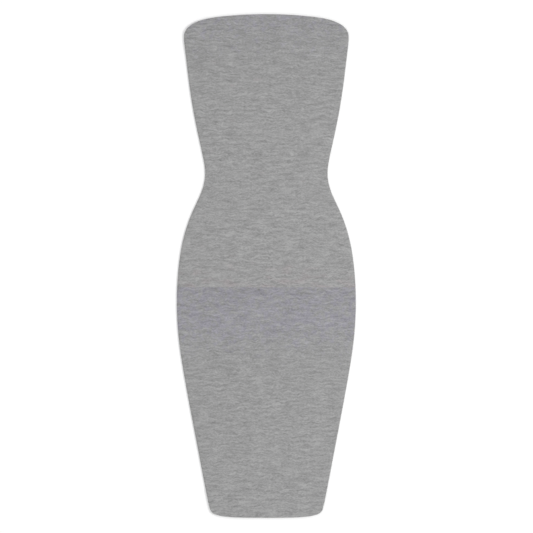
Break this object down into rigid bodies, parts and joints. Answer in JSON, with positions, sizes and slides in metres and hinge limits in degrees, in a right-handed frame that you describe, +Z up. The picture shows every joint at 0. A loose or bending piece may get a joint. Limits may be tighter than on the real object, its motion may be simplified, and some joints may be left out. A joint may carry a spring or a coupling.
{
  "type": "strapless dress",
  "caption": "Strapless fitted jersey dress, arched at the neckline, narrow at the waist and tapered to the knee, laid flat with its front up.",
  "frame": {"origin": "on the surface that the dress lies on, under the middle of its length and width", "axes": "+Z up from the surface and out of the front panel, +Y from the hem towards the neckline, +X across the dress, to the right as it is seen from above"},
  "size_m": [0.3562, 1, 0.0051],
  "materials": {
    "jersey": "matt grey marl knit"
  },
  "bodies": {
    "root": {"front_panel": "jersey", "back_panel": "jersey"}
  },
  "joints": []
}
